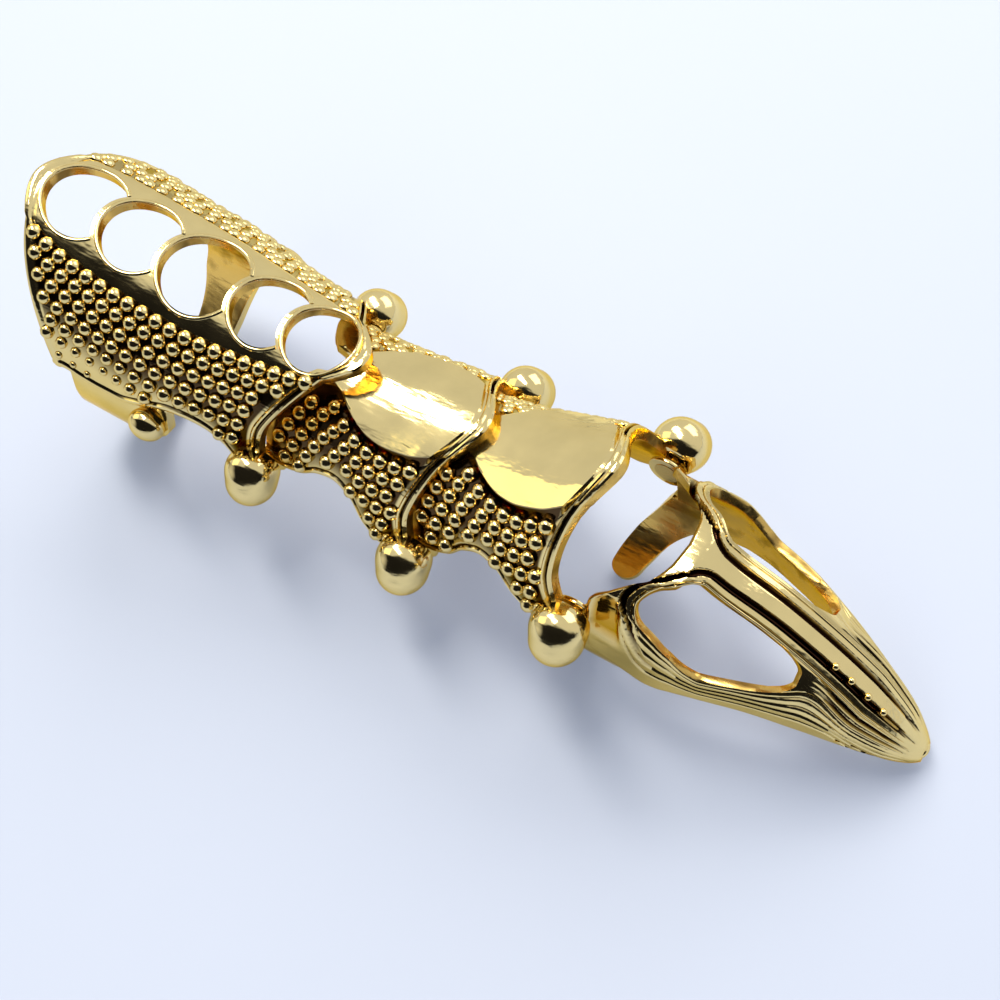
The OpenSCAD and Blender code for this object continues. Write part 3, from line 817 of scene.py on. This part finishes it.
claw = {
    # half width, and heights of the crest, the underside and the rails' upper edge, by x from the hinge
    "half": [[-0.1, 7.75], [2, 7.75], [4.5, 7.75], [6.1, 7.75], [7.3, 7.7], [8.2, 7.55], [10.3, 7.1],
             [13.5, 6.2], [18, 4.9], [22, 3.6], [25, 2.5], [26.6, 1.5], [27.5, 0.6]],
    "top": [[-0.1, 4.2], [2, 4.4], [4.5, 4.7], [6.1, 4.9], [7.3, 5], [8.2, 4.6], [10.3, 3.3], [13.5, 1.9],
            [18, -1], [22, -4.3], [25, -7.4], [26.6, -9.4], [27.5, -10.6]],
    "low": [[-0.1, -3.6], [2, -4.7], [4.5, -5.8], [6.1, -6.3], [7.3, -6.1], [8.2, -5.9], [10.3, -5.7],
            [13.5, -5.9], [18, -7.1], [22, -8.8], [25, -10], [26.6, -10.9], [27.5, -11.4]],
    "rail": [[4, 2.4], [5.5, 2], [7, 1.2], [8.2, 0.1], [9.5, -1.4], [10.8, -2.2], [13.5, -2.1],
             [17.5, -2.2], [22, -6], [25, -8.4], [27.5, -11]],
    "centreShare": 0.35, "ridgeCap": 0.62, "openAngle": 115, "closedAngle": 179, "closing": (20, 5),
    "power": lambda x: mix(0.72, 1, ease((x - 2) / 14)),
    # x of the hoop's rims by the distance from the crest line, taken at sideX
    "sideX": 6,
    "hoopRear": [[0, 6.1], [2, 5.85], [3, 5.5], [4, 4.9], [5, 3.7], [6, 2.4], [7, 1.1], [7.75, 1]],
    "hoopFront": [[0, 8.6], [2.3, 7.8], [3.5, 6.9], [4.3, 5.8], [5.2, 5.1], [6, 4.8], [7, 5], [7.75, 5.6]],
    "reach": 27.2, "windowEnd": 17.3, "ridgeHalf": 2.2, "wall": 0.85, "thinning": 0.85, "edge": 0.12,
    "corner": 1.0, "cornerReach": 3.2, "cornerTrims": (0.8, 1.6),
    "hoopRows": 34, "windowRows": 46, "pointRows": 44, "ridgeCols": 30, "windowCols": 24, "railCols": 44,
    # depth of the relief as [distance to the opening, depth], and between the openings and the point as
    # [share of the way down, depth]
    "lips": [[0, 0.12], [0.14, 0], [0.2, 0], [0.28, 0.22], [0.36, 0], [0.8, 0], [0.92, 0.4], [1.02, 0.6],
             [1.22, 0.62], [1.36, 0.4], [1.48, 0], [20, 0]],
    "railLines": [[0, 0.12], [0.14, 0], [0.26, 0], [0.36, 0.24], [0.46, 0], [0.8, 0], [0.92, 0.32],
                  [1.04, 0], [1.38, 0], [1.5, 0.32], [1.62, 0], [1.98, 0], [2.1, 0.32], [2.22, 0], [20, 0]],
    "pointLines": [[0, 0], [0.08, 0.02], [0.16, 0.42], [0.32, 0.42], [0.4, 0.02], [0.56, 0], [0.64, 0.4],
                   [0.78, 0.4], [0.86, 0.02], [1, 0]],
    "pointGather": 0.7, "linesIn": 5, "linesFade": (0.55, 0.4), "shadeDepth": 0.3, "shadeFrom": 0.15,
    "railTall": 3.1, "rearLip": 0.25, "rearLipDepth": 0.14, "farShift": 0.3, "deepest": 0.6,
    # where the ears are hollow: y, share from the hoop's rear to its front, and w
    "hollow": 0.4, "hollowSide": (6, 1), "hollowRear": (0.06, 0.1), "hollowFront": (0.5, 0.12),
    "hollowLow": (2.4, 0.2),
    "beads": [19.1, 20.5, 22, 23.4], "beadRadius": 0.32, "beadSide": 0.75,
    "capSpot": (26.8, -10.75), "capSize": (0.68, 0.92, 0.55),
}


def clawAngle(x, w):
    # angle round the section at x, 0 on the crest line; w is 0 there, 1 and 2 at the sides of the opening
    # and 3 at the lower edge
    half, low = smooth(x, claw["half"]), smooth(x, claw["low"])
    centre = mix(low, smooth(x, claw["top"]), claw["centreShare"])
    tall = smooth(x, claw["top"]) - centre
    power = 1 / claw["power"](x)
    topAngle = math.asin(min(1, min(claw["ridgeHalf"], claw["ridgeCap"] * half) / half) ** power)
    railAngle = math.acos(min(1, max(0, (smooth(x, claw["rail"]) - centre) / tall)) ** power)
    if w <= 1:
        return topAngle * w
    if w <= 2:
        return mix(topAngle, railAngle, w - 1)
    # the underside is open behind and closes towards the point
    lowest = mix(claw["openAngle"], claw["closedAngle"], climb(x, *claw["closing"]))
    return mix(railAngle, math.radians(lowest), w - 2)


def clawFace(x, angle, side, depth):
    half, low, power = smooth(x, claw["half"]), smooth(x, claw["low"]), claw["power"](x)
    centre = mix(low, smooth(x, claw["top"]), claw["centreShare"])
    tall = smooth(x, claw["top"]) - centre
    depth = min(depth, claw["deepest"] * half)
    y = (half - depth) * math.sin(min(math.pi / 2, angle)) ** power
    if angle <= math.pi / 2:
        z = centre + (tall - depth) * max(0, math.cos(angle)) ** power
    else:
        # straight down to the open edge, and from there in to the middle
        degrees, turn = math.degrees(angle), claw["openAngle"] - 90
        z = mix(centre, low, min(1, degrees / turn - 90 / turn))
        y *= math.cos(math.pi / 2 * max(0, (degrees - claw["openAngle"]) / (180 - claw["openAngle"])))
    return axis3[0] + x, side * y, axis3[1] + z


def clawPlan(row, col):
    # what lies at a grid point: x, w, side, depth of its lines, and 1 in the hollow of an ear
    ridge, window, rail = claw["ridgeCols"], claw["windowCols"], claw["railCols"]
    middle = ridge + window + rail
    j, side = abs(col - middle), (1 if col >= middle else -1)
    if j <= ridge:
        w = j / ridge
    elif j <= ridge + window:
        w = 1 + (j - ridge) / window
    else:
        w = 2 + (j - ridge - window) / rail
    sideX = claw["sideX"]
    angle = clawAngle(sideX, w)
    y = smooth(sideX, claw["half"]) * math.sin(min(math.pi / 2, angle)) ** claw["power"](sideX)
    near = min(1, claw["cornerReach"] * max(0, min(w - 1, 2 - w)))  # 0 at the sides of the opening
    trim = claw["corner"] * (1 - math.sqrt(1 - (1 - near) ** 2))
    frontTrim, endTrim = claw["cornerTrims"]
    rear, front = smooth(y, claw["hoopRear"]), smooth(y, claw["hoopFront"]) + trim * frontTrim
    end = claw["windowEnd"] - trim * endTrim
    hollow = 0
    k = row - claw["hoopRows"]
    if w <= 1:
        across = (1 - w) * claw["ridgeHalf"]
    else:
        across = max(0, w - 2) * claw["railTall"]
    if k <= 0:
        # hoop: its lips turn round the corner of the opening into the ridge and the rail
        x = mix(rear, front, row / claw["hoopRows"])
        reach = math.hypot(across, front - x)
        depth = smooth(reach - (claw["farShift"] if side > 0 else 0), claw["lips"])
        if w > 2:
            depth = mix(depth, smooth(reach, claw["railLines"]), across / max(0.001, across + front - x))
        depth = max(depth, claw["rearLipDepth"] * (1 - ease((x - rear) / claw["rearLip"])))
        behind = (x - rear) / (front - rear)
        hollow = (climb(y, *claw["hollowSide"]) * climb(behind, *claw["hollowRear"])
                  * (1 - climb(behind, *claw["hollowFront"])) * (1 - climb(w, *claw["hollowLow"])))
    else:
        if w <= 1:
            depth = smooth(across - (claw["farShift"] if side > 0 else 0), claw["lips"])
        else:
            depth = smooth(across, claw["railLines"]) if w >= 2 else 0
        if k <= claw["windowRows"]:
            x = mix(front, end, k / claw["windowRows"])
        else:
            share = (k - claw["windowRows"]) / claw["pointRows"]
            x = mix(end, claw["reach"], share ** claw["pointGather"])
            if 1 < w < 2:
                depth = smooth(w - 1, claw["pointLines"]) * ease(share * claw["linesIn"])
            depth *= 1 - climb(share, *claw["linesFade"])
    return x, w, side, depth, hollow


def clawSpot(row, col, relief):
    x, w, side, depth, hollow = clawPlan(row, col)
    return clawFace(x, clawAngle(x, w), side, (depth + claw["hollow"] * hollow) * relief)


# painted shade: the deeper a line of the relief, the darker
def clawPaintedShade(row, col):
    depth = clawPlan(row, col)[3]
    return min(1, max(0, depth / claw["shadeDepth"] - claw["shadeFrom"]))


def makeClaw():
    middle = claw["ridgeCols"] + claw["windowCols"] + claw["railCols"]
    pointStart = claw["hoopRows"] + claw["windowRows"]

    def isOpen(row, col):
        j = min(abs(col - middle), abs(col + 1 - middle))
        return (claw["hoopRows"] <= row < pointStart
                and claw["ridgeCols"] <= j < claw["ridgeCols"] + claw["windowCols"])

    # the point itself is a small rounded cap
    deselectAll()
    capX, capZ = claw["capSpot"]
    bpy.ops.mesh.primitive_uv_sphere_add(segments=32, ring_count=16, radius=mm,
                                         location=Vector((axis3[0] + capX, 0, axis3[1] + capZ)) * mm)
    cap = bpy.context.object
    cap.scale = claw["capSize"]
    bpy.ops.object.transform_apply(location=True, rotation=True, scale=True)
    smoothed(cap)
    # the ear hollows are dented and also given a painted warm reflection
    body = shell("claw", pointStart + claw["pointRows"], 2 * middle, claw["wall"],
                 lambda row, col: clawSpot(row, col, 0), raised=lambda row, col: clawSpot(row, col, 1),
                 isOpen=isOpen, recess=clawPaintedShade,
                 thin=lambda row, col: 1 - claw["thinning"] * climb(row, pointStart, claw["pointRows"]),
                 paintedWarmth=lambda row, col: clawPlan(row, col)[4])
    soften(body, claw["edge"], limit=50, segments=2)
    smoothed(body, angle=50)
    beads = []  # casting beads on the near border of the ridge
    for x in claw["beads"]:
        deselectAll()
        angle = math.asin((claw["beadSide"] / smooth(x, claw["half"])) ** (1 / claw["power"](x)))
        bpy.ops.mesh.primitive_uv_sphere_add(segments=12, ring_count=8, radius=claw["beadRadius"] * mm,
                                             location=Vector(clawFace(x, angle, -1, 0)) * mm)
        bpy.ops.object.transform_apply(location=True, rotation=True, scale=True)
        beads.append(smoothed(bpy.context.object))
    arms = [bandArm("arm", clawBand, side) for side in (-1, 1)]
    return joined("clawTipGold", [body, cap, tabEars("tabs", axis3)] + beads + arms)


clawBand = {
    "outer": 7.66, "wall": 0.81, "gap": 1.8, "end": 1.3, "top": axis3[1] - 3.4, "curls": False, "edge": 0.2,
    "rear": [[z, axis3[0] + x] for z, x in ((-1, -3.3), (0.2, -3.3), (3, -2.4), (5.2, -1.2), (7.5, -0.2),
                                            (9.4, 0.6), (11, 0.9))],
    "front": [[z, axis3[0] + x] for z, x in ((-1, -0.7), (0.2, -0.7), (1.4, 0), (3.4, 1.4), (5.6, 3.4),
                                             (7.4, 5.2), (13, 5.6))],
}


clawTip = makeClaw()
dress(clawTip, "claw", "claw_tip")
print("claw tip made", len(clawTip.data.polygons))


for name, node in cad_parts.items():
    node.data.materials.clear()
    node.data.materials.append(pinGold if "pin" in name else polishedGold)


# floor, light and camera

view = {
    "spot": (0.04735, -0.0435, 0.1134), "right": (0.830, 0.543, -0.128), "up": (-0.422, 0.761, 0.493),
    "back": (0.366, -0.355, 0.860), "lens": 51.5, "sensor": 36, "clip": 0.005,
}
# the card is dark in reflections only: direction, shift and half size of each of its sides
stage = {
    "floor": (0.36, 0.38, 0.42), "glow": (0.085, 0.115, 0.195), "roughness": 0.6, "floorSize": 3,
    "sky": 0.8, "skyColor": (0.9, 0.93, 1.0), "cardColor": (0.015, 0.015, 0.018), "cardEdge": (0.88, 1.0),
    "card": [(view["right"], 0, 1.0), (view["up"], 0.25, 0.66), ((0, 1, 0.35), 0.75, 1.0)],
}
lights = {  # place, target, size, watts, colour, and whether the gold mirrors it
    "windowLight": ((0.15, 0.5, 0.4), (0, 0, 0), (0.5, 0.4), 1.1, (1, 0.98, 0.95), True),
    "floorLight": ((-0.1, 0.34, 0.3), (-0.02, 0.06, 0), (0.4, 0.3), 1.8, (1, 0.98, 0.95), False),
    "fillLight": ((-0.02, -0.35, 0.36), (0, -0.02, 0), (0.3, 0.3), 0.75, (1, 0.99, 0.97), False),
    "goldLight": ((-0.5, -0.07, 0.36), (0, 0, 0), (0.24, 0.32), 0.26, (1, 0.95, 0.45), True),
    "topLight": ((-0.24, 0.13, 0.6), (0, 0, 0), (0.14, 0.5), 3.5, (1, 0.98, 0.94), True),
}

deselectAll()
bpy.ops.mesh.primitive_plane_add(size=stage["floorSize"])
floor = bpy.context.object
floor.name = "floor"
paper = bpy.data.materials.new("palePaper")
paper.use_nodes = True
paperShader = paper.node_tree.nodes["Principled BSDF"]
paperShader.inputs["Base Color"].default_value = (*stage["floor"], 1)
paperShader.inputs["Roughness"].default_value = stage["roughness"]
paperShader.inputs["Emission Color"].default_value = (*stage["glow"], 1)
paperShader.inputs["Emission Strength"].default_value = 1
floor.data.materials.append(paper)


def softLight(name, spot, target, size, power, color, mirrored):
    lamp = bpy.data.lights.new(name, "AREA")
    lamp.shape = "RECTANGLE"
    lamp.size, lamp.size_y = size
    lamp.energy = power
    lamp.color = color
    holder = bpy.data.objects.new(name, lamp)
    holder.location = spot
    holder.rotation_euler = (Vector(target) - Vector(spot)).to_track_quat("-Z", "Y").to_euler()
    holder.visible_glossy = mirrored
    bpy.context.scene.collection.objects.link(holder)


for name, values in lights.items():
    softLight(name, *values)

world = bpy.data.worlds.new("studio")
bpy.context.scene.world = world
world.use_nodes = True
nodes, links = world.node_tree.nodes, world.node_tree.links
place = nodes.new("ShaderNodeTexCoord")
far = None  # 1 at the card's edge, less inside it
for way, shift, reach in stage["card"]:
    measure = nodes.new("ShaderNodeVectorMath")
    measure.operation = "DOT_PRODUCT"
    measure.inputs[1].default_value = Vector(way) / reach
    links.new(place.outputs["Generated"], measure.inputs[0])
    moved = nodes.new("ShaderNodeMath")
    moved.inputs[1].default_value = shift / reach
    links.new(measure.outputs["Value"], moved.inputs[0])
    size = nodes.new("ShaderNodeMath")
    size.operation = "ABSOLUTE"
    links.new(moved.outputs[0], size.inputs[0])
    if far:
        largest = nodes.new("ShaderNodeMath")
        largest.operation = "MAXIMUM"
        links.new(far, largest.inputs[0])
        links.new(size.outputs[0], largest.inputs[1])
        far = largest.outputs[0]
    else:
        far = size.outputs[0]
ramp = nodes.new("ShaderNodeValToRGB")
for stop, position, color in zip(ramp.color_ramp.elements, stage["cardEdge"],
                                 (stage["cardColor"], stage["skyColor"])):
    stop.position = position
    stop.color = (*color, 1)
links.new(far, ramp.inputs[0])
links.new(ramp.outputs["Color"], nodes["Background"].inputs["Color"])
nodes["Background"].inputs["Strength"].default_value = stage["sky"]

lens = bpy.data.cameras.new("camera")
lens.sensor_width = view["sensor"]
lens.lens = view["lens"]
lens.clip_start = view["clip"]
camera = bpy.data.objects.new("camera", lens)
bpy.context.scene.collection.objects.link(camera)
back = Vector(view["back"]).normalized()
right = Vector(view["up"]).cross(back).normalized()
up = back.cross(right)
camera.matrix_world = Matrix.Translation(view["spot"]) @ Matrix((right, up, back)).transposed().to_4x4()
bpy.context.scene.camera = camera
bpy.context.scene.view_settings.view_transform = "Standard"
print("stage made")

bpy.context.view_layer.update()
